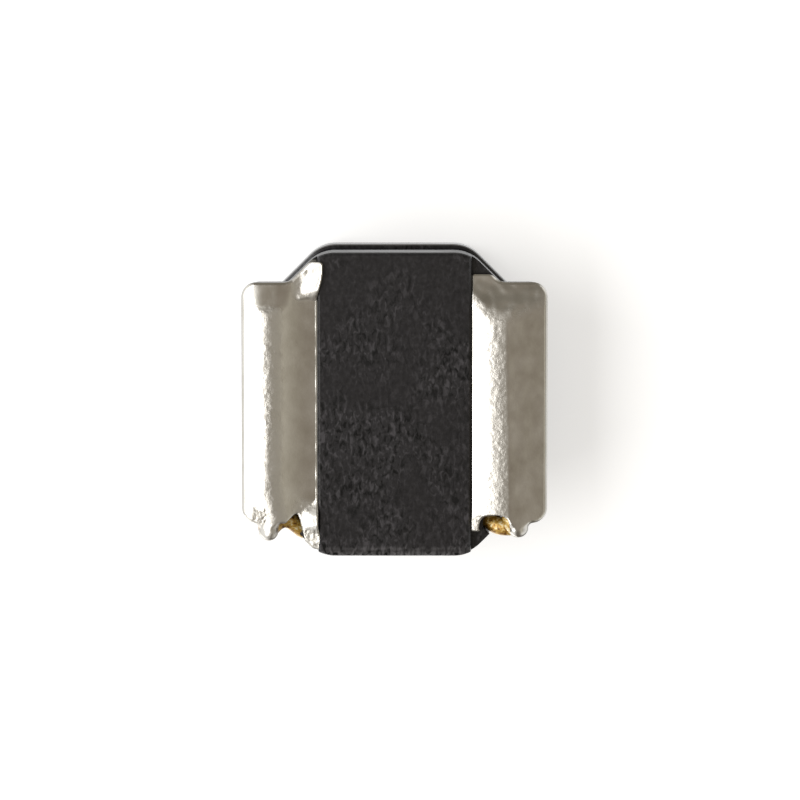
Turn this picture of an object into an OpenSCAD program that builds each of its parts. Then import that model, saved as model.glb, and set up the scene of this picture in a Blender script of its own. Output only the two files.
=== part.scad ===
// Shielded wire-wound power inductor for surface mounting.
// A ferrite drum core carries a short winding of thick enamelled copper wire. Ferrite-filled resin
// fills the window between the flanges. The wire ends come round the front edge of the lower flange
// and lie in grooves in its two side steps, under the solder of the terminals.
// Millimetres. The origin is the middle of the seating plane, the board is below, +Z points away
// from it. The wire ends come out at the front, which is -Y. The terminals are at -X and +X.

/* [Body] */
// Width over both terminals and depth of the core
body_w = 4.9; // [4.7:0.05:5.3]
// Height over everything
body_h = 2.0; // [1.9:0.05:2.4]
// Straight part and corner cut of the octagon: x plus y along the cut
corner_sum = 3.65; // [3.60:0.01:3.75]
// Radius where the sides run into the corner cuts
corner_r = 0.6; // [0.4:0.05:0.7]

/* [Drum core] */
// Thickness of the upper flange
upper_t = 0.40; // [0.30:0.05:0.45]
// Level of the inner face of the lower flange
lower_top = 0.60; // [0.58:0.01:0.62]
// Diameter of the post
post_d = 2.3; // [2.0:0.1:2.3]
// Rounding of the pressed edges
edge = 0.05; // [0.03:0.01:0.07]
// Level of the central land above the seating plane
land_z = 0.08; // [0.06:0.01:0.12]
// Half width of the central land between the terminals
land_half = 1.22; // [1.15:0.01:1.30]
// Level of the side steps
step_z = 0.30; // [0.29:0.01:0.32]
// Front edge of the side tabs
tab_front = -1.88; // [-1.90:0.01:-1.86]
// Back edge of the side tabs
tab_back = 1.94; // [1.85:0.01:1.97]
// Corner radius of the side tabs
tab_r = 0.22; // [0.10:0.02:0.30]
// Half width of the slot in the corner cut that lets a wire end through
notch_r = 0.17; // [0.165:0.005:0.18]

/* [Winding] */
// Diameter of the wire with its enamel
wire_d = 0.30; // [0.28:0.01:0.30]
// Line of the wire end under the right terminal
lead_right_x = 2.04; // [2.00:0.01:2.08]
// Line of the wire end under the left terminal
lead_left_x = 1.88; // [1.86:0.01:1.95]
// Where the wire ends are cut off
lead_end_y = 1.34; // [1.0:0.02:1.4]
// Level of the wire ends in the grooves
lead_z = 0.22; // [0.20:0.01:0.23]

/* [Terminals] */
// Thickness of the fired electrode with its plating
plating = 0.03; // [0.02:0.005:0.03]
// Thickness of the solder on the side faces
solder_side = 0.03; // [0.02:0.01:0.04]
// Width of the flat the terminal stands on
seat_w = 0.16; // [0.12:0.02:0.20]
// How far the terminals climb the flange edge
wrap_top = 0.52; // [0.45:0.01:0.55]
// Half the length of the metal on the right terminal
metal_right = 2.32; // [2.20:0.02:2.36]
// Half the length of the metal on the left terminal
metal_left = 2.07; // [2.04:0.01:2.20]

/* [Hidden] */

half = body_w / 2;
upper_z = body_h - upper_t;
wire_r = wire_d / 2;
skin = plating + solder_side;
core_half = half - skin;
// the groove of each wire end, in the ferrite and inside the plating
groove_r = wire_r + 0.01 + plating;
// levels of the three layers of turns between the flanges
turn_low = lower_top + wire_r + 0.02;
turn_high = upper_z - wire_r - 0.02;
turn_mid = (turn_low + turn_high) / 2;
// middle of the inner and of the outer turns
inner_r = post_d / 2 + wire_r + 0.02;
outer_r = inner_r + wire_d + 0.005;
// where the straight wire ends meet the turns
start_turn = 3.3;
end_turn = 1266.7;
// rounded end of the slot in each front corner cut of the lower flange, square to the cut
notch = [1.59, -1.94];
// the metal keeps clear of the slots
clear_at = [1.60, -1.98];
clear_r = 0.24;
// pull of each lead outwards from the turns, and downwards to its bend
out_right = [1.42, -2.20, 0.80];
down_right = [1.80, -1.68, 0.76];
out_left = [1.44, -2.06, 0.80];
down_left = [1.80, -1.98, 0.73];
// where each wire end comes round the front edge of its tab
bend_right = [2.01, -2.05, 0.44];
bend_left = [1.97, -1.99, 0.43];
recess_y = -1.79;

function lerp(a, b, t) = a + (b - a) * t;
function clamp01(t) = max(0, min(1, t));
// eased step from 0 to 1 between two turn angles
function ease(a, from, to) = (1 - cos(180 * clamp01((a - from) / (to - from)))) / 2;
function turned(p, a) = [p[0] * cos(a) - p[1] * sin(a), p[0] * sin(a) + p[1] * cos(a)];
function cubic(p, t) =
    pow(1 - t, 3) * p[0] + 3 * pow(1 - t, 2) * t * p[1]
    + 3 * (1 - t) * t * t * p[2] + pow(t, 3) * p[3];

// Square with cut and rounded corners: the outline of both flanges and of the resin.
module octagon(h, total, r) {
    c = total - h - r * (sqrt(2) - 1);
    k = r * cos(45);
    polygon([
        for (q = [0:3])
            for (p = [[h, -c], [h, c], [h - r + k, c + k], [c + k, h - r + k]])
                turned(p, 90 * q)
    ]);
    for (q = [0:3])
        rotate(90 * q) {
            translate([h - r, c]) circle(r, $fn = 64);
            translate([c, h - r]) circle(r, $fn = 64);
        }
}

// Outline of the two side tabs of the lower flange, as one rounded rectangle.
module tabs(h, front, back, r) {
    translate([-h, front + r]) square([2 * h, back - front - 2 * r]);
    translate([-h + r, front]) square([2 * h - 2 * r, back - front]);
    for (x = [-h + r, h - r])
        for (y = [front + r, back - r])
            translate([x, y]) circle(r, $fn = 48);
}

// A flat plate with its lower or upper edges rounded in two small steps.
module eased_plate(z0, z1, low, high) {
    hull() {
        translate([0, 0, z0 + low])
            linear_extrude(z1 - z0 - low - high) octagon(half, corner_sum, corner_r);
        translate([0, 0, z0 + low * 0.3])
            linear_extrude(z1 - z0 - (low + high) * 0.3)
                octagon(half - edge * 0.3, corner_sum - edge * 0.42, corner_r - 0.01);
        translate([0, 0, z0])
            linear_extrude(z1 - z0) octagon(half - edge, corner_sum - edge * 1.41, corner_r - 0.03);
    }
}

// A round bar between two points.
module bar(a, b, r) {
    v = b - a;
    translate(a)
        rotate([0, acos(v[2] / norm(v)), atan2(v[1], v[0])])
            cylinder(h = norm(v), r = r, $fn = 48);
}

// Room for the wires, cut out of the lower flange and the terminals: the slot, the groove along
// the step and the recess in the tab's front edge that the wire comes round.
module wire_room(r) {
    for (s = [[1, lead_right_x, bend_right], [-1, lead_left_x, bend_left]]) {
        translate([s[0] * notch[0], notch[1], -1])
            linear_extrude(1.61) {
                circle(notch_r, $fn = 64);
                rotate(s[0] > 0 ? -45 : -135) translate([0, -notch_r]) square([1, 2 * notch_r]);
            }
        translate([s[0] * s[1], -2.6, lead_z])
            rotate([-90, 0, 0])
                cylinder(h = 2.6 + lead_end_y + 0.01 + max(0, r - wire_r - 0.01), r = r, $fn = 48);
        translate([s[0] * s[2][0] - r - 0.01, -2.6, -1]) cube([2 * r + 0.02, 2.6 + recess_y, 1.61]);
        translate([s[0] * (s[1] + s[2][0]) / 2, s[2][1] + 0.12, lead_z + 0.04])
            sphere(r + 0.05, $fn = 48);
    }
}

// Where the solder and the electrode draw back round a slot.
module metal_clearance(side) {
    translate([side * clear_at[0], clear_at[1], -1]) cylinder(h = 3, r = clear_r, $fn = 64);
}

module lower_flange() {
    difference() {
        union() {
            intersection() {
                eased_plate(land_z, lower_top, edge, 0);
                // section across the flange: central land between two side steps
                translate([0, half + 1, 0])
                    rotate([90, 0, 0])
                        linear_extrude(2 * half + 2)
                            polygon([
                                [-core_half, step_z], [-land_half - 0.02, step_z],
                                [-land_half, land_z + 0.03], [-land_half + 0.03, land_z - 0.001],
                                [land_half - 0.03, land_z - 0.001], [land_half, land_z + 0.03],
                                [land_half + 0.02, step_z], [core_half, step_z],
                                [core_half, lower_top + 1], [-core_half, lower_top + 1]
                            ]);
            }
            translate([0, 0, step_z])
                linear_extrude(lower_top - step_z) tabs(core_half, tab_front, tab_back, tab_r);
        }
        wire_room(groove_r);
        // the leads slope down through their slots
        bar([1.60, -1.91, 0.75], [1.91, -1.925, 0.575], wire_r + 0.025);
        bar([1.85, -1.90, 0.61], [2.03, -2.05, 0.43], wire_r + 0.03);
        bar([-1.60, -1.955, 0.74], [-1.86, -1.99, 0.58], wire_r + 0.025);
    }
}

module drum_core() {
    color("#2f2d2e") {
        lower_flange();
        translate([0, 0, lower_top - 0.05])
            cylinder(h = upper_z - lower_top + 0.1, d = post_d, $fn = 96);
        eased_plate(upper_z, body_h, edge, edge);
    }
}

// Path of the wire: right lead, turns going up inside, turns coming down outside, left lead.
function turn_point(a) = [
    lerp(inner_r, outer_r, ease(a, 700, 770)) * cos(a),
    lerp(inner_r, outer_r, ease(a, 700, 770)) * sin(a),
    turn_low
        + (turn_mid - turn_low) * ease(a, 200, 290) + (turn_high - turn_mid) * ease(a, 560, 650)
        - (turn_high - turn_mid) * ease(a, 920, 1010) - (turn_mid - turn_low) * ease(a, 1070, 1160)
];
function heading(a) = [-sin(a), cos(a), 0];
// a lead leaves the turns along their tangent until it is above the notch
right_in = turn_point(start_turn) - 1.68 * heading(start_turn);
left_in = turn_point(end_turn) + 1.42 * heading(end_turn);
// out of the resin and outwards to the bend
function lead_out(inside, side, out, down, bend) = [
    inside,
    [side * out[0], out[1], out[2]],
    [side * down[0], down[1], down[2]],
    [side * bend[0], bend[1], bend[2]]
];
// round the edge of the tab and into the groove
function lead_over(side, bend, x) = [
    [side * bend[0], bend[1], bend[2]],
    [side * (bend[0] + 0.065), bend[1] - 0.02, bend[2] - 0.13],
    [side * x, bend[1] - 0.01, lead_z],
    [side * x, -1.80, lead_z]
];
function lead(inside, side, out, down, bend, x) = concat(
    [for (t = [0:1/14:0.999]) cubic(lead_out(inside, side, out, down, bend), t)],
    [for (t = [0:1/10:1.001]) cubic(lead_over(side, bend, x), t)],
    [[side * x, lead_end_y, lead_z]]
);
function reversed(v) = [for (i = [len(v) - 1:-1:0]) v[i]];
wire_path = concat(
    reversed(lead(right_in, 1, out_right, down_right, bend_right, lead_right_x)),
    [for (a = [start_turn:7.2:end_turn]) turn_point(a)],
    lead(left_in, -1, out_left, down_left, bend_left, lead_left_x)
);

function unit(v) = v / norm(v);
function path_dir(p, i) = unit(p[min(i + 1, len(p) - 1)] - p[max(i - 1, 0)]);
// side vector carried along the path without twist
function carried(p, i, u) = unit(u - (u * path_dir(p, i)) * path_dir(p, i));
function sides(p, i = 0, u = [0, 0, 1]) =
    i >= len(p) ? [] : concat([carried(p, i, u)], sides(p, i + 1, carried(p, i, u)));

// A round wire along a path, as one closed skin.
module wire(path, r, n) {
    u = sides(path);
    pts = [
        for (i = [0:len(path) - 1])
            for (k = [0:n - 1])
                path[i] + r * (cos(360 * k / n) * u[i] + sin(360 * k / n) * cross(path_dir(path, i), u[i]))
    ];
    last = (len(path) - 1) * n;
    polyhedron(pts, concat(
        [[for (k = [0:n - 1]) k]],
        [
            for (i = [0:len(path) - 2])
                for (k = [0:n - 1])
                    [i * n + k, (i + 1) * n + k, i * n + (k + 1) % n]
        ],
        [
            for (i = [0:len(path) - 2])
                for (k = [0:n - 1])
                    [i * n + (k + 1) % n, (i + 1) * n + k, (i + 1) * n + (k + 1) % n]
        ],
        [[for (k = [n - 1:-1:0]) last + k]]
    ), convexity = 10);
}

module winding() {
    color("#b5652b") wire(wire_path, wire_r, 12);
}

// Ferrite-filled resin between the flanges, moulded round the turns and their leads.
module resin_shield() {
    color("#454348")
        difference() {
            translate([0, 0, lower_top])
                linear_extrude(upper_z - lower_top)
                    octagon(half - 0.10, corner_sum - 0.14, corner_r - 0.06);
            translate([0, 0, lower_top - 1])
                cylinder(h = body_h + 1, r = outer_r + wire_r + 0.015, $fn = 96);
            for (s = [[turn_point(start_turn), -1], [turn_point(end_turn), 1]])
                translate(s[0])
                    rotate([0, 0, s[0][0] > 0 ? start_turn : end_turn])
                        rotate([s[1] > 0 ? -90 : 90, 0, 0])
                            cylinder(h = 2.4, r = wire_r + 0.01, $fn = 32);
            // pockets where the leads turn outwards
            for (x = [-notch[0] + 0.03, notch[0] - 0.03])
                translate([x, notch[1] + 0.013, lower_top - 1])
                    cylinder(h = turn_low + wire_r + 0.05 - lower_top + 1, r = 0.42, $fn = 64);
        }
}

// Plan of the lower flange with its tabs, grown sideways by a skin of metal.
module flange_plan(grow) {
    intersection() {
        octagon(half, corner_sum, corner_r);
        square([2 * (core_half + grow), 6], center = true);
    }
    tabs(core_half + grow, tab_front - grow * 0.6, tab_back + grow * 0.6, tab_r + grow);
}

// Plan of the metal on a side step, drawn for the right side.
module step_plan(grow, reach) {
    intersection() {
        flange_plan(grow);
        translate([land_half + 0.03, -reach]) square([3, 2 * reach]);
    }
}

// Fired and plated electrode: floor of the step, lining of the groove, skirt on the flange edge.
module electrode(side, reach) {
    color("#b9b7b2")
        difference() {
            union() {
                scale([side, 1, 1]) {
                    translate([0, 0, step_z - plating]) linear_extrude(plating) step_plan(plating, reach);
                    translate([0, 0, step_z - plating])
                        linear_extrude(wrap_top - step_z)
                            difference() {
                                step_plan(plating, reach);
                                flange_plan(0);
                                translate([0, -3]) square([3, 1.3]);
                                translate([0, 1.7]) square([3, 3]);
                            }
                }
                intersection() {
                    translate([side * (side > 0 ? lead_right_x : lead_left_x), tab_front, lead_z])
                        rotate([-90, 0, 0])
                            cylinder(h = lead_end_y - tab_front + 0.01 + plating, r = groove_r, $fn = 48);
                    translate([-3, -3, step_z - plating]) cube([6, 6, 1]);
                }
            }
            wire_room(groove_r - plating);
            metal_clearance(side);
        }
}

// Solder on one terminal: a coat over the step and a roof over the wire end that runs out beyond
// the cut end. It also climbs the flange edge. Levels: at the land, beside the ridge, at the edge.
module solder_coat(side, ridge, reach, levels) {
    coat = 0.17;
    color("#c9c7c2")
        difference() {
            scale([side, 1, 1]) {
                translate([0, 0, coat]) linear_extrude(step_z - plating - coat) step_plan(skin, reach);
                intersection() {
                    translate([0, 0, -1]) linear_extrude(2) step_plan(skin, reach);
                    translate([0, 3, 0])
                        rotate([90, 0, 0])
                            linear_extrude(6)
                                polygon([
                                    [1, step_z - plating], [1, levels[0]],
                                    [land_half + 0.03, levels[0]], [ridge - 0.34, levels[1]],
                                    [ridge - 0.16, 0.045], [ridge - seat_w / 2, 0],
                                    [ridge + seat_w / 2, 0], [ridge + 0.16, 0.03],
                                    [half - 0.05, levels[2]], [half, levels[2] + 0.04],
                                    [half, step_z - plating]
                                ]);
                    // the hip beyond the wire end
                    translate([0, lead_end_y + 0.03, 0])
                        rotate([28, 0, 0]) translate([0, -8, 0]) cube([3, 9, 2]);
                }
                translate([0, 0, step_z - plating])
                    linear_extrude(wrap_top - step_z)
                        difference() {
                            step_plan(skin, reach);
                            step_plan(plating, reach);
                            translate([0, -3]) square([3, 1.35]);
                            translate([0, 1.65]) square([3, 3]);
                        }
            }
            wire_room(wire_r + 0.01);
            metal_clearance(side);
        }
}

module electrode_left() { electrode(-1, metal_left); }
module electrode_right() { electrode(1, metal_right); }
module solder_left() { solder_coat(-1, lead_left_x, metal_left, [0.16, 0.10, 0.10]); }
module solder_right() { solder_coat(1, lead_right_x, metal_right, [0.155, 0.11, 0.13]); }

drum_core();
winding();
resin_shield();
electrode_left();
electrode_right();
solder_left();
solder_right();
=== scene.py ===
import math

import bpy
import numpy as np
from mathutils import Matrix, Vector, noise


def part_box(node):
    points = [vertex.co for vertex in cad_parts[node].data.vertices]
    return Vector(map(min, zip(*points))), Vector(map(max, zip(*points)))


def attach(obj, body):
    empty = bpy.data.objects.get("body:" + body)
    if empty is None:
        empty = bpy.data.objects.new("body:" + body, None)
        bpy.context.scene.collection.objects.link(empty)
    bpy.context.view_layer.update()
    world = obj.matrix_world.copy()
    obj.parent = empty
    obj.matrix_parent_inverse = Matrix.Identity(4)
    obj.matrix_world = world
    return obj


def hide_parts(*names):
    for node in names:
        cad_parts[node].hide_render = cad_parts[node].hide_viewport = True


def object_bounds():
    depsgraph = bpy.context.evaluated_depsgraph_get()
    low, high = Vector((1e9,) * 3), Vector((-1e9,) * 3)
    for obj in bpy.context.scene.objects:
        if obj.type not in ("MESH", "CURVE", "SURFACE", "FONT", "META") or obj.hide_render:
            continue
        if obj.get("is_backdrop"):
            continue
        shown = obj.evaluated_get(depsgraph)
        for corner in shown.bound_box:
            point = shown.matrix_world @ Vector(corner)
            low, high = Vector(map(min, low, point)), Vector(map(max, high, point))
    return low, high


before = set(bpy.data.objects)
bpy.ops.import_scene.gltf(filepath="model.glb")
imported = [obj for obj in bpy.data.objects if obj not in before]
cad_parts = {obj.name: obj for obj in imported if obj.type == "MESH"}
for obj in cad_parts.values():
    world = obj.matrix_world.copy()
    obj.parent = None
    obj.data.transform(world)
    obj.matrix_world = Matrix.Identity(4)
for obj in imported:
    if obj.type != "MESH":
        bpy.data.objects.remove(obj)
cad_low, cad_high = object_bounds()

MM = 0.001


# ---------------------------------------------------------------------------------------------
# Drum core. One piece of pressed and sintered nickel-zinc ferrite: upper flange, post and lower
# flange with its two side steps. It comes out of the kiln almost black, with a fine grain.
# ---------------------------------------------------------------------------------------------
def linear(colour):
    """sRGB hex such as 0x2f2d2e as linear RGBA."""
    parts = [((colour >> s) & 255) / 255 for s in (16, 8, 0)]
    return [p / 12.92 if p <= 0.04045 else ((p + 0.055) / 1.055) ** 2.4 for p in parts] + [1.0]


def node(tree, kind, inputs=None, ramp=None, **settings):
    """Adds a node, sets its properties and ramp stops, and links or sets its inputs.

    A node given as an input is linked by its first output.
    """
    made = tree.nodes.new(kind)
    for key, value in settings.items():
        setattr(made, key, value)
    if ramp:
        stops = made.color_ramp.elements
        while len(stops) < len(ramp):
            stops.new(0.5)
        for stop, (place, colour) in zip(stops, ramp):
            stop.position = place
            stop.color = linear(colour) if isinstance(colour, int) else [colour] * 3 + [1.0]
    for key, value in (inputs or {}).items():
        if isinstance(value, bpy.types.Node):
            value = value.outputs[0]
        if isinstance(value, bpy.types.NodeSocket):
            tree.links.new(value, made.inputs[key])
        else:
            made.inputs[key].default_value = value
    return made


def material(name):
    """An empty material, its node tree and its place in millimetres."""
    made = bpy.data.materials.new(name)
    made.use_nodes = True
    tree = made.node_tree
    tree.nodes.clear()
    place = node(tree, "ShaderNodeTexCoord").outputs["Object"]
    in_mm = node(tree, "ShaderNodeVectorMath", {0: place, "Scale": 1 / MM}, operation="SCALE")
    return made, tree, in_mm


def dressed(name, finish):
    """Shows a solid itself in a material."""
    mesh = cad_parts[name].data
    mesh.materials.clear()
    mesh.materials.append(finish)


# the plan of both flanges is an octagon: x plus y along its cut corners, in mm
corner_sum = 3.65
# heights in mm that part the face of the land, the two flanges and the upper one's lower edge
above_land, between_flanges, upper_edge = 0.12, 1.0, 1.3
# and y at the front edge of the land and where its chips and painted edge highlight end
front_edge, front_pale_end = -2.44, -2.28

# fired ferrite: charcoal with grains of 0.03 to 0.06 mm, in patches wrinkled like fine leather
ferrite, tree, at = material("fired_ferrite")
place = node(tree, "ShaderNodeSeparateXYZ", {"Vector": at}).outputs
grain = node(tree, "ShaderNodeTexNoise", {"Vector": at, "Scale": 15.0, "Detail": 4.0, "Roughness": 0.6})
cloud = node(tree, "ShaderNodeTexNoise", {"Vector": at, "Scale": 0.9, "Detail": 3.0})
upright = node(tree, "ShaderNodeMapping", {"Vector": at, "Scale": (15.0, 8.0, 11.0)})
wrinkle = node(tree, "ShaderNodeTexNoise", {"Vector": upright, "Scale": 1.0, "Detail": 2.0,
                                            "Distortion": 0.7})
specks = node(tree, "ShaderNodeValToRGB", {"Fac": grain},
              ramp=[(0.32, 0x1f1e20), (0.48, 0x262527), (0.62, 0x2b2a2c), (0.76, 0x39383a)])
# the wrinkles come in patches, more of them towards the front
forward = node(tree, "ShaderNodeMath", {0: place["Y"], 1: -0.03, 2: cloud}, operation="MULTIPLY_ADD")
patch = node(tree, "ShaderNodeMapRange", {"Value": forward, "From Min": 0.40, "From Max": 0.58,
                                          "To Min": 0.2})
marks = node(tree, "ShaderNodeValToRGB", {"Fac": wrinkle}, ramp=[(0.54, 0.0), (0.66, 1.0)])
marks = node(tree, "ShaderNodeMath", {0: marks, 1: patch}, operation="MULTIPLY")
pits = node(tree, "ShaderNodeValToRGB", {"Fac": wrinkle}, ramp=[(0.34, 1.0), (0.48, 0.0)])
pits = node(tree, "ShaderNodeMath", {0: pits, 1: patch}, operation="MULTIPLY")
shade = node(tree, "ShaderNodeMix", {"Factor": marks, 6: specks, 7: linear(0x474548)},
             data_type="RGBA").outputs[2]
shade = node(tree, "ShaderNodeMix", {"Factor": pits, 6: shade, 7: linear(0x0c0c0d)},
             data_type="RGBA").outputs[2]
# the front edge of the land is painted lighter in specks: partly chips, partly a painted highlight of
# its rounded edge
chipped_edge_highlight = node(tree, "ShaderNodeMapRange", {"Value": place["Y"], "From Min": front_edge,
                                         "From Max": front_pale_end, "To Min": 1.0, "To Max": 0.0})
chipped_edge_highlight = node(tree, "ShaderNodeValToRGB", {"Fac": chipped_edge_highlight},
            ramp=[(0.0, 0.0), (0.30, 0.26), (0.50, 0.14), (0.92, 0.62)])
under = node(tree, "ShaderNodeMath", {0: place["Z"], 1: above_land}, operation="LESS_THAN")
edge_specks = node(tree, "ShaderNodeMapRange", {"Value": wrinkle, "From Min": 0.36, "From Max": 0.62})
chipped_edge_highlight = node(tree, "ShaderNodeMath", {0: chipped_edge_highlight, 1: under}, operation="MULTIPLY")
chipped_edge_highlight = node(tree, "ShaderNodeMath", {0: chipped_edge_highlight, 1: edge_specks}, operation="MULTIPLY")
shade = node(tree, "ShaderNodeMix", {"Factor": chipped_edge_highlight, 6: shade, 7: linear(0x7d7b7d)},
             data_type="RGBA").outputs[2]
# painted highlight: the lower edge of the upper flange is painted pale on its faces turned partly down,
# where it would catch a glancing reflection
normal = node(tree, "ShaderNodeNewGeometry").outputs["Normal"]
facing = node(tree, "ShaderNodeSeparateXYZ", {"Vector": normal}).outputs["Z"]
painted_rim_highlight = node(tree, "ShaderNodeMapRange", {"Value": facing, "From Min": -1.0, "From Max": 0.0})
painted_rim_highlight = node(tree, "ShaderNodeValToRGB", {"Fac": painted_rim_highlight},
            ramp=[(0.12, 0.0), (0.40, 0.8), (0.80, 1.0), (0.95, 0.0)])
upper = node(tree, "ShaderNodeMath", {0: place["Z"], 1: between_flanges}, operation="GREATER_THAN")
painted_rim_highlight = node(tree, "ShaderNodeMath", {0: painted_rim_highlight, 1: upper}, operation="MULTIPLY")
shade = node(tree, "ShaderNodeMix", {"Factor": painted_rim_highlight, 6: shade, 7: linear(0x858382)},
             data_type="RGBA").outputs[2]
# the upper flange is ground smooth round its rim and matt on its face, the lower one is as fired
wall = node(tree, "ShaderNodeMath", {0: facing}, operation="ABSOLUTE")
wall = node(tree, "ShaderNodeMapRange", {"Value": wall, "From Min": 0.3, "From Max": 0.8,
                                         "To Min": 1.0, "To Max": 0.0})
ground = node(tree, "ShaderNodeMapRange", {"Value": place["Z"], "From Min": between_flanges,
                                           "From Max": upper_edge, "To Min": 0.10, "To Max": -0.08})
matt = node(tree, "ShaderNodeMapRange", {"Value": facing, "From Min": 0.5, "From Max": 0.9,
                                         "To Max": 0.16})
gloss = node(tree, "ShaderNodeMapRange", {"Value": cloud, "From Min": 0.3, "From Max": 0.7,
                                          "To Min": 0.20, "To Max": 0.30})
gloss = node(tree, "ShaderNodeMath", {0: wall, 1: ground, 2: gloss}, operation="MULTIPLY_ADD")
gloss = node(tree, "ShaderNodeMath", {0: gloss, 1: matt}, operation="ADD")
shine = node(tree, "ShaderNodeMapRange", {"Value": pits, "To Min": 0.5, "To Max": 0.3})
bump = node(tree, "ShaderNodeBump", {"Height": grain, "Strength": 0.3, "Distance": 0.008 * MM})
shader = node(tree, "ShaderNodeBsdfPrincipled", {
    "Base Color": shade, "Roughness": gloss, "IOR": 1.5, "Specular IOR Level": shine, "Normal": bump})
node(tree, "ShaderNodeOutputMaterial", {"Surface": shader})

dressed("drum_core", ferrite)


# ---------------------------------------------------------------------------------------------
# Winding. One round copper wire with clear amber enamel: the turns lie round the post inside the
# resin, and both ends come out at the front, bend round the flange edge and lie under the solder.
# ---------------------------------------------------------------------------------------------
wire_d = 0.30
post_d = 2.3
slack = 0.02
resin_low, resin_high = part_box("resin_shield")
window_low, window_high = resin_low[2] / MM, resin_high[2] / MM
wire_r = wire_d / 2
inner_r = post_d / 2 + wire_r + slack
outer_r = inner_r + wire_d + 0.005
turn_low = window_low + wire_r + slack
turn_high = window_high - wire_r - slack
turn_mid = (turn_low + turn_high) / 2
# degrees round the post
start_turn, end_turn, turn_step = 3.3, 1266.7, 4.0
# each end: straight out through the resin, a curve down past the flange's notch to the bend, and
# along the groove of the step to its cut end
lead_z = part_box("winding")[0][2] / MM + wire_r
lead_end_y = 1.34
leads = {
    1: {"straight": 1.68, "out": (1.36, -2.72, 0.64), "down": (1.59, -1.50, 0.49),
        "bend": (2.01, -2.05, 0.44), "x": 2.04},
    -1: {"straight": 1.42, "out": (1.46, -2.02, 0.48), "down": (1.70, -2.05, 0.42),
         "bend": (1.97, -2.00, 0.43), "x": 1.88},
}


def ease(a, start, stop):
    """From 0 at start to 1 at stop, along half a cosine."""
    t = min(1.0, max(0.0, (a - start) / (stop - start)))
    return (1 - math.cos(math.pi * t)) / 2


def turn_point(a):
    """Two turns climb the post, the wire crosses to the second layer, and the rest comes down."""
    r = inner_r + (outer_r - inner_r) * ease(a, 700, 770)
    z = turn_low
    z += (turn_mid - turn_low) * (ease(a, 200, 290) - ease(a, 1070, 1160))
    z += (turn_high - turn_mid) * (ease(a, 560, 650) - ease(a, 920, 1010))
    return Vector((r * math.cos(math.radians(a)), r * math.sin(math.radians(a)), z))


def heading(a):
    """Direction of the turn at this angle."""
    return Vector((-math.sin(math.radians(a)), math.cos(math.radians(a)), 0))


def cubic(p, t):
    """Point of a Bezier curve with four control points."""
    return (1 - t) ** 3 * p[0] + 3 * (1 - t) ** 2 * t * p[1] + 3 * (1 - t) * t * t * p[2] + t ** 3 * p[3]


def lead_points(inside, side):
    """One wire end, from inside the resin to its cut end in the groove."""
    lead = leads[side]
    out, down, bend = [Vector((side * x, y, z)) for x, y, z in map(lead.get, ("out", "down", "bend"))]
    groove_x = side * lead["x"]
    leave = (inside, out, down, bend)
    turn_in = (bend, bend + Vector((side * 0.065, -0.02, -0.13)),
               Vector((groove_x, bend.y - 0.01, lead_z)), Vector((groove_x, -1.80, lead_z)))
    points = [cubic(leave, i / 24) for i in range(24)]
    points += [cubic(turn_in, i / 20) for i in range(21)]
    points += [Vector((groove_x, y, lead_z)) for y in np.linspace(-1.7, lead_end_y, 12)]
    return points


def swept(path, radius, sides):
    """Vertices and faces of a round wire along a path, without twist."""
    verts, faces = [], []
    up = Vector((0, 0, 1))
    for i, p in enumerate(path):
        way = (path[min(i + 1, len(path) - 1)] - path[max(i - 1, 0)]).normalized()
        up = (up - up.dot(way) * way).normalized()
        across = way.cross(up)
        for k in range(sides):
            a = 2 * math.pi * k / sides
            verts.append(p + radius * (math.cos(a) * up + math.sin(a) * across))
    for i in range(len(path) - 1):
        for k in range(sides):
            a, b = i * sides + k, i * sides + (k + 1) % sides
            faces.append((a, a + sides, b + sides, b))
    faces.append(tuple(range(sides)))
    faces.append(tuple(reversed(range((len(path) - 1) * sides, len(path) * sides))))
    return verts, faces


def piece(name, verts, faces, finish, smooth=True):
    """A mesh object from points in millimetres."""
    mesh = bpy.data.meshes.new(name)
    mesh.from_pydata([tuple(Vector(v) * MM) for v in verts], [], faces)
    mesh.validate()
    mesh.polygons.foreach_set("use_smooth", [smooth] * len(mesh.polygons))
    mesh.materials.append(finish)
    made = bpy.data.objects.new(name, mesh)
    bpy.context.scene.collection.objects.link(made)
    return made


right_in = turn_point(start_turn) - leads[1]["straight"] * heading(start_turn)
left_in = turn_point(end_turn) + leads[-1]["straight"] * heading(end_turn)
path = list(reversed(lead_points(right_in, 1)))
path += [turn_point(a) for a in np.arange(start_turn, end_turn, turn_step)]
path += lead_points(left_in, -1)

# enamelled copper: clear amber varnish over copper, with blots of about 0.08 mm, which are cloudy
# and brown where the solder heated it
copper, tree, at = material("enamelled_copper")
height = node(tree, "ShaderNodeSeparateXYZ", {"Vector": at}).outputs["Z"]
blot = node(tree, "ShaderNodeTexNoise", {"Vector": at, "Scale": 13.0, "Detail": 4.0, "Roughness": 0.65})
clear = node(tree, "ShaderNodeValToRGB", {"Fac": blot}, ramp=[(0.35, 0xb38430), (0.65, 0xd0a54a)])
burnt = node(tree, "ShaderNodeValToRGB", {"Fac": blot},
             ramp=[(0.36, 0x5e3a10), (0.44, 0xa87a2c), (0.54, 0xd2ab50), (0.66, 0xf8ecc4)])
heated = node(tree, "ShaderNodeMapRange", {"Value": height, "From Min": 0.50, "From Max": 0.68,
                                           "To Min": 1.0, "To Max": 0.0})
amber = node(tree, "ShaderNodeMix", {"Factor": heated, 6: clear, 7: burnt},
             data_type="RGBA").outputs[2]
bump = node(tree, "ShaderNodeBump", {"Height": blot, "Strength": 0.15, "Distance": 0.01 * MM})
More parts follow.
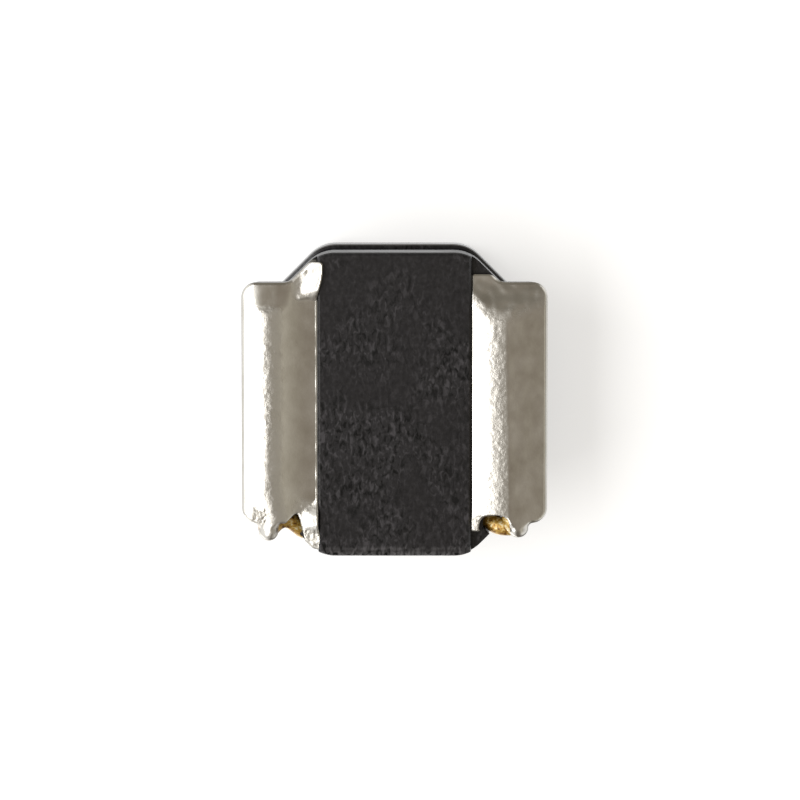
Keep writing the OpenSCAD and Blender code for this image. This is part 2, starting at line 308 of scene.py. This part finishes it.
shader = node(tree, "ShaderNodeBsdfPrincipled", {
    "Base Color": amber, "Metallic": 0.3, "Roughness": 0.36, "Coat Weight": 0.2,
    "Coat Roughness": 0.15, "Normal": bump})
node(tree, "ShaderNodeOutputMaterial", {"Surface": shader})

winding = piece("winding_wire", *swept(path, wire_r, 24), copper)
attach(winding, "root")
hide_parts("winding")


# ---------------------------------------------------------------------------------------------
# Resin shield. Epoxy filled with ferrite powder, dispensed into the window between the flanges
# and cured. It pulls back a little between the flange edges and keeps a sandy, matt surface.
# ---------------------------------------------------------------------------------------------
resin_half = resin_high[0] / MM
resin_cut = corner_sum - 0.14
resin_corner_r = 0.54
bore = outer_r + wire_r + 0.015
hollow, waves, sand = 0.03, 0.012, 0.006


def octagon(half, total, radius, step):
    """Outline of a square with cut and rounded corners, as points about one step apart."""
    c = total - half - radius * (math.sqrt(2) - 1)
    corners = []
    for q in range(4):
        for cx, cy, a0 in ((half - radius, c, 0), (c, half - radius, 45)):
            for i in range(9):
                a = math.radians(a0 + 45 * i / 8 + 90 * q)
                s, k = math.sin(math.radians(90 * q)), math.cos(math.radians(90 * q))
                corners.append((cx * k - cy * s + radius * math.cos(a),
                                cx * s + cy * k + radius * math.sin(a)))
    points = []
    for i, (x, y) in enumerate(corners):
        nx, ny = corners[(i + 1) % len(corners)]
        count = max(1, round(math.hypot(nx - x, ny - y) / step))
        points += [(x + (nx - x) * j / count, y + (ny - y) * j / count) for j in range(count)]
    return points


outline = octagon(resin_half, resin_cut, resin_corner_r, 0.06)
levels = np.linspace(window_low, window_high, 15)
verts, faces = [], []
for j, z in enumerate(levels):
    t = 2 * j / (len(levels) - 1) - 1
    for x, y in outline:
        p = Vector((x, y, z))
        pull = hollow * (1 - t * t) + waves * (noise.noise(p * 3.0) + 1)
        pull += sand * (noise.noise(p * 14.0) + 1)
        far = math.hypot(x, y)
        verts.append((x * (1 - pull / far), y * (1 - pull / far), z))
n = len(outline)
for j in range(len(levels) - 1):
    for i in range(n):
        a, b = j * n + i, j * n + (i + 1) % n
        faces.append((a, b, b + n, a + n))
for z in (window_high, window_low):
    for x, y in outline:
        far = math.hypot(x, y)
        verts.append((x / far * bore, y / far * bore, z))
top, inner_top, inner_low = (len(levels) - 1) * n, len(levels) * n, (len(levels) + 1) * n
for i in range(n):
    k = (i + 1) % n
    faces.append((top + i, top + k, inner_top + k, inner_top + i))
    faces.append((inner_top + i, inner_top + k, inner_low + k, inner_low + i))
    faces.append((inner_low + i, inner_low + k, k, i))

# magnetic resin: dark grey, dull, with powder grains of 0.02 to 0.05 mm
resin, tree, at = material("ferrite_filled_epoxy")
powder = node(tree, "ShaderNodeTexNoise", {"Vector": at, "Scale": 24.0, "Detail": 4.0, "Roughness": 0.7})
lumps = node(tree, "ShaderNodeTexNoise", {"Vector": at, "Scale": 4.0, "Detail": 2.0})
tone = node(tree, "ShaderNodeValToRGB", {"Fac": powder},
            ramp=[(0.34, 0x323133), (0.52, 0x49484a), (0.66, 0x5a595b), (0.76, 0x7b7a7d)])
relief = node(tree, "ShaderNodeMath", {0: powder, 1: lumps}, operation="ADD")
bump = node(tree, "ShaderNodeBump", {"Height": relief, "Strength": 0.6, "Distance": 0.02 * MM})
shader = node(tree, "ShaderNodeBsdfPrincipled", {
    "Base Color": tone, "Roughness": 0.72, "IOR": 1.55, "Normal": bump})
node(tree, "ShaderNodeOutputMaterial", {"Surface": shader})

shield = piece("resin_fill", verts, faces, resin)
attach(shield, "root")
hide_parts("resin_shield")


# ---------------------------------------------------------------------------------------------
# Electrodes. Silver paste fired onto the side steps and the flange edges, plated with nickel and
# tin. Only thin edges of it show past the solder.
# ---------------------------------------------------------------------------------------------
# tin plating: grey and matt with clouds of about 0.1 mm, darker at a glancing view
plating, tree, at = material("matt_tin_plating")
cloud = node(tree, "ShaderNodeTexNoise", {"Vector": at, "Scale": 9.0, "Detail": 4.0})
tone = node(tree, "ShaderNodeValToRGB", {"Fac": cloud}, ramp=[(0.3, 0x7c7971), (0.7, 0x98958c)])
rough = node(tree, "ShaderNodeMapRange", {"Value": cloud, "To Min": 0.42, "To Max": 0.6})
bump = node(tree, "ShaderNodeBump", {"Height": cloud, "Strength": 0.3, "Distance": 0.006 * MM})
shader = node(tree, "ShaderNodeBsdfPrincipled", {
    "Base Color": tone, "Metallic": 1.0, "Roughness": rough, "Specular Tint": (0.2, 0.19, 0.18, 1.0),
    "Normal": bump})
node(tree, "ShaderNodeOutputMaterial", {"Surface": shader})

dressed("electrode_left", plating)
dressed("electrode_right", plating)


# ---------------------------------------------------------------------------------------------
# Solder coats. The terminals are dipped in tin solder, which covers the steps, climbs the flange
# edges and stands like a roof over each wire end, smooth on the slopes and grainy on the ridge.
# ---------------------------------------------------------------------------------------------
# in millimetres, with x counted outwards on both sides: 1 is the right coat and -1 the left one
flange_half = cad_high[0] / MM
flange_x = 2.1
tab_front, tab_back, tab_corner_r = -1.905, 1.965, 0.24
land_x = 1.23
coat_front = {1: -2.34, -1: -2.05}
coat_back = {1: 2.30, -1: 2.09}
# heights above the floor of the step: the roof's ridge, the flat where it seats, the valley
floor_z = 0.30
roof_top = 0.303
seat_top = 0.298
valley = {1: 0.09, -1: 0.07}
ridge_softness = {1: 0.11, -1: 0.09}
edge_r, bend_r = 0.028, 0.12
skirt_low, skirt_high = floor_z - 0.03, 0.47
# down the skirt as shares of its depth, with how far each ring stands back in millimetres
skirt = ((0.25, 0.0), (0.6, 0.0), (0.9, 0.004), (1.0, 0.016), (1.0, 0.034))
# the grid that a coat is cut from: its corner, its width and length, and the side of one cell
grid_x, grid_y = land_x - 0.10, -2.40
grid_wide, grid_long = 1.26, 4.78
cell = 0.015


def blend(a, b, t):
    """From a to b as t goes from 0 to 1."""
    return a + (b - a) * t


def rise(value, start, stop):
    """From 0 at start to 1 at stop, level at both."""
    t = min(1.0, max(0.0, (value - start) / (stop - start)))
    return t * t * (3 - 2 * t)


def ramp_up(value, start, stop):
    """Level up to start, then eases into a slope of 1 at stop."""
    t = min(1.0, max(0.0, (value - start) / (stop - start)))
    return (stop - start) * (t ** 3 - t ** 4 / 2) + max(0.0, value - stop)


def soft_least(a, b, k):
    """The lesser of two values, rounded where they differ by less than k."""
    h = max(k - abs(a - b), 0.0) / k
    return min(a, b) - h * h * k * 0.25


def beyond_edge(side, x, y):
    """Distance outside the outline of the flange with its tabs and wire bend; negative inside."""
    cut = max((x + abs(y) - corner_sum) / math.sqrt(2), abs(y) - flange_half, x - flange_x)
    middle, reach = (tab_front + tab_back) / 2, (tab_back - tab_front) / 2
    qx, qy = x - flange_half + tab_corner_r, abs(y - middle) - reach + tab_corner_r
    tab = math.hypot(max(qx, 0), max(qy, 0)) + min(max(qx, qy), 0) - tab_corner_r
    wire_x, wire_y, _ = leads[side]["bend"]
    nub = math.hypot(x - wire_x - 0.02, y - min(-1.8, max(wire_y, y))) - wire_r - 0.012
    return soft_least(soft_least(cut, tab, 0.08), nub, 0.10)


def land_wall(side, y):
    """Where the coat ends beside the land; on the right it laps over the edge at both ends."""
    if side < 0:
        return land_x
    return land_x - 0.08 * rise(y, 1.70, 2.15) - 0.07 * rise(-y, 1.95, 2.30)


def beyond_metal(side, x, y):
    """Distance outside the coat: it stops at the wall of the land, at two ends and at the slot."""
    front = coat_front[side] - 0.3 * rise(x, 1.70, 1.80)
    ends = max(front - y, y - coat_back[side])
    out = -soft_least(-max(beyond_edge(side, x, y), land_wall(side, y) - x), -ends, 0.05)
    if side > 0:
        # the solder has run over half of the slot
        across = (x + y) / math.sqrt(2) + 0.112
        slot = max(x - 1.865, -soft_least(x - 1.50 - 0.25 * (y + 1.95), -across, 0.10))
        slot = max(slot, y + 1.70)
    else:
        # a round slot, longer towards the front
        u, v = abs(x - 1.605) / 0.255, abs(min(y + 2.10, 0.0) * 0.5 + max(y + 2.10, 0.0)) / 0.32
        slot = 0.27 * ((u ** 3 + v ** 3) ** (1 / 3) - 1)
    return max(out, -slot)


def uphill(side, x, y, h=0.004):
    """Gradient of the distance outside the coat."""
    return ((beyond_metal(side, x + h, y) - beyond_metal(side, x - h, y)) / (2 * h),
            (beyond_metal(side, x, y + h) - beyond_metal(side, x, y - h)) / (2 * h))


def roof_right(x, y, n1, n2):
    """Slopes to the land, to the edge and beyond the wire's cut end, with grain, fold and hem."""
    crest = 2.01 - 0.10 * rise(-y, 1.30, 1.98) + 0.012 * n1
    if x < crest:
        inward = roof_top - 0.20 * (1 - math.exp(-(crest - x) / 0.44))
    else:
        inward = roof_top + 0.45 * (x - crest)
    outward = roof_top - 0.34 * (x - crest)
    # a small flat beyond the cut end of the wire, on the outer half only
    flat = 0.228 - 0.01 * (x - 1.88) - 0.05 * (y - 1.6)
    beyond = -soft_least(-flat, 0.45 * (y - 1.43) - roof_top, 0.02) + 0.8 * max(0.0, 1.83 - x) ** 2
    grain = rise(x, crest - 0.26, crest - 0.12) * (1 - rise(x, crest + 0.10, crest + 0.20))
    fold = (y - 1.52 + 0.05 * n2) / 3
    hem = (1 - rise(abs(fold), 0.0, 0.045)) * rise(x, 1.86, 1.96) * (1 - rise(x, 2.22, 2.34))
    return inward, outward, beyond, grain, fold, hem


def roof_left(x, y, n2):
    """The same for the left coat, whose ridge lies nearer to the land."""
    crest = blend(1.665, 1.615, rise(y, -2.0, 1.4)) + 0.008 * n2
    inward = roof_top - 0.31 * (crest - x)
    outward = roof_top - 0.11 * (x - crest)
    beyond = roof_top - 0.36 * (y - 1.36 + 0.03 * n2)
    wide = 0.07 * rise(-y, 0.6, 1.5)
    grain = rise(x, crest - 0.22 - wide, crest - 0.06 - wide)
    grain *= 1 - rise(x, crest + 0.12, crest + 0.20)
    fold = min(inward, outward) - beyond
    hem = (1 - rise(abs(fold - 0.01), 0.0, 0.06)) * (1 - rise(y, 1.80, 1.95))
    hem *= 1 - 0.7 * rise(x, 1.78, 1.90)
    return inward, outward, beyond, grain, fold, hem


def drawn_up(x, y, n2, n3, height, grain):
    """The right coat draws up on the wall of the land, most at its two ends."""
    from_wall = x - land_wall(1, y)
    back = rise(y + 0.2 * from_wall, 1.66, 1.92)
    front = rise(-y + 0.15 * from_wall, 1.50, 1.86)
    draw = max(back, front)
    climb = max(0.0, 1 - from_wall / (0.035 + (0.32 + 0.05 * n2) * max(min(1.0, 3 * back), front)))
    lift = 0.155 * max(back, front * (1 - 0.65 * rise(-y, 1.90, 2.12)))
    height += (0.016 + (0.010 - 0.008 * back) * n2 + lift) * climb ** 1.6
    rim = draw * rise(x, 1.42, 1.50) * (1 - rise(x, 1.58, 1.68))
    rim = max(rim, 4 * draw * (1 - draw) * (1 - rise(x, 1.50, 1.62)))
    spots = draw * rise(-y, 1.92, 2.05) * (1 - rise(x, 1.50, 1.58))
    height += spots * 0.007 * n3
    # a worn terrace on the outer side of the front end
    worn = rise(-y, 1.52, 1.80) * (1 - rise(-y, 1.90, 2.06))
    height += worn * 0.30 * (ramp_up(x, 2.02, 2.10) - ramp_up(x, 2.26, 2.34))
    worn *= rise(x, 2.04, 2.10) * (1 - rise(x, 2.26, 2.32))
    height += worn * 0.010 * n3
    return height, max(grain, rim, spots, worn)


def solder_height(side, x, y):
    """Height of the solder above the floor of the step, and its grain from 0 to 1."""
    p = Vector((x * side, y, 0))
    n1, n2 = noise.noise(p * 2.2), noise.noise(p * 7.0 + Vector((5, 1, 0)))
    n3, n4 = noise.noise(p * 24.0 + Vector((0, 7, 3))), noise.noise(p * 13.0 + Vector((2, 9, 4)))
    roof = roof_right(x, y, n1, n2) if side > 0 else roof_left(x, y, n2)
    inward, outward, beyond, grain, fold, hem = roof
    height = soft_least(soft_least(inward, outward, ridge_softness[side]), beyond, 0.05)
    height = -soft_least(-height, -valley[side], 0.05)
    # grains along the ridge and where the slopes meet the end
    grain = max(grain * (1 - rise(fold, 0.0, 0.03)), 0.85 * hem)
    if side > 0:
        height, grain = drawn_up(x, y, n2, n3, height, grain)
    else:
        # it lies flatter and grainy beside the slot
        flank = rise(-y, 1.74, 1.88) * (1 - rise(x, 1.38, 1.50))
        height += flank * (0.004 * n3 - 0.18 * (x - land_x))
        grain = max(grain, flank)
    height += grain * (0.002 * n2 + 0.0040 * n4 + 0.0014 * n3 - 0.002)
    height += 0.0015 * n1 + 0.001 * n2
    return min(height, seat_top), grain


def coat_cells(side, xs, ys):
    """Cells of the grid that lie on the coat and hold together, none by a corner only."""
    inside = [[beyond_metal(side, x, y) < -0.4 * cell for y in ys] for x in xs]
    cells = {(i, j) for i in range(len(xs) - 1) for j in range(len(ys) - 1)
             if inside[i][j] and inside[i + 1][j] and inside[i][j + 1] and inside[i + 1][j + 1]}
    start = min(cells, key=lambda c: abs(xs[c[0]] - 1.9) + abs(ys[c[1]]))
    kept, queue = {start}, [start]
    while queue:
        i, j = queue.pop()
        for c in ((i + 1, j), (i - 1, j), (i, j + 1), (i, j - 1)):
            if c in cells and c not in kept:
                kept.add(c)
                queue.append(c)
    for _ in range(3):
        for i, j in list(kept):
            for di, dj in ((1, 1), (1, -1)):
                if (i + di, j + dj) in kept and (i + di, j) not in kept and (i, j + dj) not in kept:
                    kept.discard((i, j))
    return sorted(kept)


def coat_plan(side):
    """Flat mesh of the coat: its points, its faces and the loop of points round its rim."""
    xs = [grid_x + cell * i for i in range(int(grid_wide / cell) + 3)]
    ys = [grid_y + cell * j for j in range(int(grid_long / cell) + 3)]
    index, verts, faces = {}, [], []
    for i, j in coat_cells(side, xs, ys):
        quad = []
        for c in ((i, j), (i + 1, j), (i + 1, j + 1), (i, j + 1)):
            if c not in index:
                index[c] = len(verts)
                verts.append([xs[c[0]], ys[c[1]]])
            quad.append(index[c])
        faces.append(quad)
    edges = dict.fromkeys((a, b) for quad in faces for a, b in zip(quad, quad[1:] + quad[:1]))
    follow = {a: b for a, b in edges if (b, a) not in edges}
    loop = [next(iter(follow))]
    while follow[loop[-1]] != loop[0]:
        loop.append(follow[loop[-1]])
    # the steps of the rim are moved onto the true outline
    for v in loop:
        x, y = verts[v]
        for _ in range(3):
            d = beyond_metal(side, x, y)
            gx, gy = uphill(side, x, y)
            g = max(1e-6, gx * gx + gy * gy)
            x, y = x - d * gx / g, y - d * gy / g
        verts[v] = [x, y]
    return verts, faces, loop


def solder(side, name):
    """A closed coat: its upper face, a skirt down the flange edge and a flat underside."""
    verts, faces, loop = coat_plan(side)
    points, grains = [], []
    wire_x = leads[side]["bend"][0] + 0.02
    for x, y in verts:
        height, grain = solder_height(side, x, y)
        over_wire = rise(-y, 1.88, 2.02) * (1 - rise(abs(x - wire_x), 0.16, 0.30))
        round_r = edge_r + bend_r * over_wire
        inset = min(round_r, max(0.0, -beyond_edge(side, x, y)))
        drop = round_r - math.sqrt(round_r ** 2 - (round_r - inset) ** 2)
        points.append([x, y, floor_z - height + drop])
        grains.append(grain)
    rings = [loop] + [[] for _ in range(len(skirt) + 1)]
    for ring, (depth, inset) in zip(rings[1:], skirt + ((0.0, skirt[-1][1]),)):
        for v in loop:
            x, y, z = points[v]
            gx, gy = uphill(side, x, y)
            size = max(1e-9, math.hypot(gx, gy))
            outer = rise(x, 2.20, 2.42) * (1 - rise(abs(y - 0.03), 1.55, 1.85))
            foot = blend(skirt_low, skirt_high + 0.02 * noise.noise(Vector((y * 3, side, 0))), outer)
            shift = inset * max(outer, 0.15)
            level = blend(z, foot, depth) if depth > 0 else skirt_low
            ring.append(len(points))
            points.append([x - gx / size * shift, y - gy / size * shift, level])
    for upper, lower in zip(rings, rings[1:]):
        for k in range(len(loop)):
            m = (k + 1) % len(loop)
            faces.append([upper[k], lower[k], lower[m], upper[m]])
    faces.append(rings[-1])
    points = [(x * side, y, z) for x, y, z in points]
    if side > 0:
        faces = [list(reversed(f)) for f in faces]
    made = piece(name, points, faces, tin)
    frost = made.data.attributes.new("grain", "FLOAT", "POINT")
    frost.data.foreach_set("value", grains + [-1.0] * (len(points) - len(grains)))
    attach(made, "root")
    return made


# dipped tin solder: mirror-like on the slopes with ripples of about 0.05 mm, frosted on the grainy
# ridges, grey on the skirt
tin, tree, at = material("dipped_tin_solder")
ripple = node(tree, "ShaderNodeTexNoise", {"Vector": at, "Scale": 20.0, "Detail": 2.0,
                                           "Roughness": 0.6})
cloud = node(tree, "ShaderNodeTexNoise", {"Vector": at, "Scale": 2.5, "Detail": 3.0})
frost = node(tree, "ShaderNodeAttribute", attribute_name="grain").outputs["Fac"]
bright = node(tree, "ShaderNodeValToRGB", {"Fac": cloud}, ramp=[(0.3, 0xd9d5cc), (0.7, 0xe9e6df)])
tone = node(tree, "ShaderNodeMix", {"Factor": frost, 6: bright, 7: linear(0xcecac2)},
            data_type="RGBA").outputs[2]
thin = node(tree, "ShaderNodeMapRange", {"Value": frost, "From Min": -1.0, "From Max": -0.2,
                                         "To Min": 1.0, "To Max": 0.0})
tone = node(tree, "ShaderNodeMix", {"Factor": thin, 6: tone, 7: linear(0x6f6b64)},
            data_type="RGBA").outputs[2]
rough = node(tree, "ShaderNodeMapRange", {"Value": cloud, "From Min": 0.3, "From Max": 0.7,
                                          "To Min": 0.18, "To Max": 0.26})
rough = node(tree, "ShaderNodeMath", {0: frost, 1: 0.20, 2: rough}, operation="MULTIPLY_ADD",
             use_clamp=True)
hard = node(tree, "ShaderNodeMapRange", {"Value": frost, "To Min": 0.04, "To Max": 0.34})
bump = node(tree, "ShaderNodeBump", {"Height": ripple, "Strength": hard, "Distance": 0.02 * MM})
shader = node(tree, "ShaderNodeBsdfPrincipled", {
    "Base Color": tone, "Metallic": 1.0, "Roughness": rough,
    "Specular Tint": (0.45, 0.44, 0.43, 1.0), "Normal": bump})
node(tree, "ShaderNodeOutputMaterial", {"Surface": shader})

for side, name in ((1, "right"), (-1, "left")):
    coat = solder(side, "solder_coat_" + name)
    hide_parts("solder_" + name)


# ---------------------------------------------------------------------------------------------
# Stage. A white sheet under the terminals for views from above, and one behind the back of the
# part for the view of its underside. Each shows only on the side that faces the part.
# ---------------------------------------------------------------------------------------------
sheet_reach = 400.0
sheet_gap = 0.002
paper_white = 0.80


def sheet(name, level, down, glow):
    """A large white sheet that glows a little, and more from 12 to 45 mm away from the part."""
    paper, tree, at = material(name + "_paper")
    back = node(tree, "ShaderNodeNewGeometry").outputs["Backfacing"]
    lit = node(tree, "ShaderNodeBsdfDiffuse", {"Color": [paper_white] * 3 + [1.0]})
    away = node(tree, "ShaderNodeVectorMath", {0: at}, operation="LENGTH").outputs["Value"]
    far = node(tree, "ShaderNodeMapRange", {"Value": away, "From Min": 12.0, "From Max": 45.0,
                                            "To Min": glow, "To Max": 0.9})
    own = node(tree, "ShaderNodeEmission", {"Color": [1.0] * 4, "Strength": far})
    face = node(tree, "ShaderNodeAddShader", {0: lit, 1: own})
    clear = node(tree, "ShaderNodeBsdfTransparent")
    shader = node(tree, "ShaderNodeMixShader", {0: back, 1: face, 2: clear})
    node(tree, "ShaderNodeOutputMaterial", {"Surface": shader})
    r = sheet_reach
    corners = [(-r, -r, level), (r, -r, level), (r, r, level), (-r, r, level)]
    made = piece(name, corners, [(3, 2, 1, 0) if down else (0, 1, 2, 3)], paper, smooth=False)
    for ray in ("diffuse", "glossy", "transmission", "volume_scatter", "shadow"):
        setattr(made, "visible_" + ray, False)
    made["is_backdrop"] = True


sheet("floor_sheet", -sheet_gap, False, 0.33)
sheet("back_sheet", cad_high[2] / MM + sheet_gap, True, 0.55)

# the room: white round about and above, dim straight below and towards the shadow side
room_light = 0.38
world = bpy.data.worlds.new("studio")
bpy.context.scene.world = world
world.use_nodes = True
tree = world.node_tree
tree.nodes.clear()
way = node(tree, "ShaderNodeTexCoord").outputs["Generated"]
way = node(tree, "ShaderNodeSeparateXYZ", {"Vector": way}).outputs
rays = node(tree, "ShaderNodeLightPath").outputs
glossy = rays["Is Glossy Ray"]
seen = node(tree, "ShaderNodeMath", {0: glossy, 1: rays["Is Transmission Ray"]}, operation="MAXIMUM")
above = node(tree, "ShaderNodeMix", {"Factor": seen, 6: [room_light] * 3 + [1.0], 7: [1.0] * 4},
             data_type="RGBA").outputs[2]
across = node(tree, "ShaderNodeMapRange", {"Value": way["X"], "From Min": -1.0, "From Max": 0.2})
below = node(tree, "ShaderNodeValToRGB", {"Fac": across},
             ramp=[(0.0, 0x7a766f), (0.13, 0x8c877d), (0.29, 0xcac5ba), (0.42, 0xbcb7ac),
                   (0.58, 0x9c968a), (0.67, 0x877e74), (0.83, 0x8d867c), (1.0, 0xa09a90)])
height = node(tree, "ShaderNodeMath", {0: way["X"], 1: 0.5, 2: way["Z"]}, operation="MULTIPLY_ADD")
lit = node(tree, "ShaderNodeMapRange", {"Value": height, "From Min": -0.55, "From Max": -0.10})
# in reflections the white side fades softly into the dim part
side_glow = node(tree, "ShaderNodeMapRange", {"Value": way["X"], "From Min": 0.12, "From Max": 0.44})
side_glow = node(tree, "ShaderNodeMath", {0: side_glow, 1: glossy}, operation="MULTIPLY")
# and it stays rather light round the horizon
level_glow = node(tree, "ShaderNodeMapRange", {"Value": way["Z"], "From Min": -0.48,
                                               "From Max": -0.18, "To Max": 0.6})
lit = node(tree, "ShaderNodeMath", {0: lit, 1: side_glow}, operation="MAXIMUM")
lit = node(tree, "ShaderNodeMath", {0: lit, 1: level_glow}, operation="MAXIMUM")
glow = node(tree, "ShaderNodeMix", {"Factor": lit, 6: below, 7: above}, data_type="RGBA").outputs[2]
# in reflections it is dim behind the back edge and in front too, but not off to the sides
middle = node(tree, "ShaderNodeMath", {0: way["X"]}, operation="ABSOLUTE")
middle = node(tree, "ShaderNodeMapRange", {"Value": middle, "From Min": 0.35, "From Max": 0.60,
                                           "To Min": 1.0, "To Max": 0.0})
middle = node(tree, "ShaderNodeMath", {0: middle, 1: glossy}, operation="MULTIPLY")
rear = node(tree, "ShaderNodeMapRange", {"Value": way["Y"], "From Min": 0.25, "From Max": 0.60})
low = node(tree, "ShaderNodeMapRange", {"Value": way["Z"], "From Min": 0.55, "From Max": 0.85,
                                        "To Min": 1.0, "To Max": 0.0})
rear = node(tree, "ShaderNodeMath", {0: rear, 1: low}, operation="MULTIPLY")
rear = node(tree, "ShaderNodeMath", {0: rear, 1: middle}, operation="MULTIPLY")
glow = node(tree, "ShaderNodeMix", {"Factor": rear, 6: glow, 7: linear(0x7b766d)},
            data_type="RGBA").outputs[2]
front = node(tree, "ShaderNodeMapRange", {"Value": way["Y"], "From Min": -0.25, "From Max": -0.60})
off_side = node(tree, "ShaderNodeMapRange", {"Value": way["X"], "From Min": 0.1, "From Max": 0.45,
                                             "To Min": 1.0, "To Max": 0.0})
front = node(tree, "ShaderNodeMath", {0: front, 1: off_side}, operation="MULTIPLY")
front = node(tree, "ShaderNodeMath", {0: front, 1: middle}, operation="MULTIPLY")
glow = node(tree, "ShaderNodeMix", {"Factor": front, 6: glow, 7: linear(0x6d6860)},
            data_type="RGBA").outputs[2]
# straight into the camera the room is plain white
glow = node(tree, "ShaderNodeMix", {"Factor": rays["Is Camera Ray"], 6: glow, 7: [1.0] * 4},
            data_type="RGBA").outputs[2]
room = node(tree, "ShaderNodeBackground", {"Color": glow, "Strength": 1.0})
node(tree, "ShaderNodeOutputWorld", {"Surface": room})


def softbox(name, way, tilt, turn, size, far, level):
    """An area lamp whose face shows the given brightness, tilted from straight down or up.

    Sizes and the distance to the part are in millimetres, angles in degrees.
    """
    lamp = bpy.data.lights.new(name, "AREA")
    lamp.shape = "RECTANGLE"
    lamp.size, lamp.size_y = size[0] * MM, size[1] * MM
    lamp.energy = level * math.pi * lamp.size * lamp.size_y
    made = bpy.data.objects.new(name, lamp)
    bpy.context.scene.collection.objects.link(made)
    t, a = math.radians(tilt), math.radians(turn)
    place = Vector((math.sin(t) * math.cos(a), math.sin(t) * math.sin(a), way * math.cos(t)))
    target = Vector((0, 0, cad_high[2] / 2))
    made.location = target + place * far * MM
    made.rotation_euler = (-place).to_track_quat("-Z", "Y").to_euler()
    made.visible_camera = False


softbox("side_box_under", way=-1, tilt=40, turn=-6, size=(88, 54), far=80, level=3.3)
softbox("side_box_over", way=1, tilt=40, turn=-60, size=(70, 90), far=90, level=1.6)

# the camera looks at the underside, from a little towards the back edge
camera = bpy.data.cameras.new("camera")
camera.lens = 200.0
camera.sensor_width = 36.0
camera.clip_start, camera.clip_end = 0.002, 2.0
view = bpy.data.objects.new("camera", camera)
bpy.context.scene.collection.objects.link(view)
bpy.context.scene.camera = view
elevation = math.radians(-82.9)
shown_mm = 12.853
aim = Vector((-0.088, 0.056, 0.3))
distance = shown_mm / camera.sensor_width * camera.lens
right = Vector((-1, 0, 0))
back = Vector((0, math.cos(elevation), math.sin(elevation)))
up = back.cross(right)
place = (aim + back * distance) * MM
view.matrix_world = Matrix((
    (right.x, up.x, back.x, place.x),
    (right.y, up.y, back.y, place.y),
    (right.z, up.z, back.z, place.z),
    (0, 0, 0, 1)))
bpy.context.scene.view_settings.view_transform = "Standard"

low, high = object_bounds()
